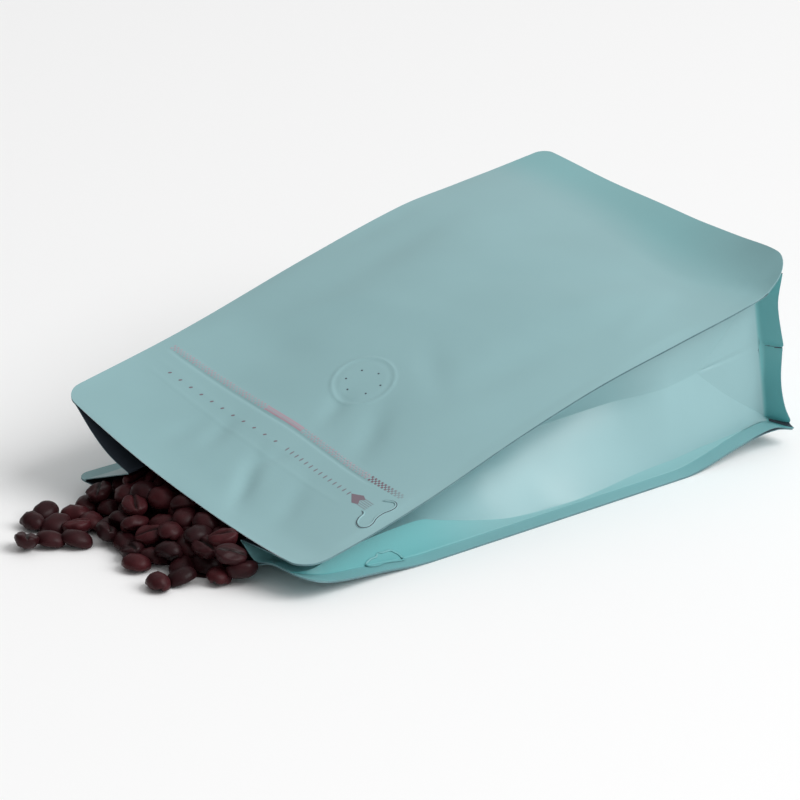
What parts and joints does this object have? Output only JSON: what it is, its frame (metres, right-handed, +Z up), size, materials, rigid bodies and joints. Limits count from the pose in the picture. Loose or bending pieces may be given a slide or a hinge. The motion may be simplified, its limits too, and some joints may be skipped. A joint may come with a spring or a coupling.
{
  "type": "coffee bag with valve",
  "caption": "Flat-bottom pouch with side gussets, welded edges and a degassing valve, lying on its back with its mouth open and roasted beans spilling out.",
  "frame": {"origin": "on the floor under the middle of the back panel, 105 mm in from the mouth", "axes": "+Y along the pouch from its mouth to its bottom sheet, +Z up through the front panel, which lies uppermost"},
  "size_m": [0.13, 0.2583, 0.0727],
  "materials": {
    "film": "matt pale blue-green laminate with a dark inner face",
    "valve_plastic": "moulded, off-white",
    "zip_plastic": "extruded, smooth",
    "roasted_bean": "dark brown with a slight oily sheen"
  },
  "bodies": {
    "root": {"pouch": "film", "valve": "valve_plastic", "zip_strip": "zip_plastic", "coffee_beans": "roasted_bean"}
  },
  "joints": []
}
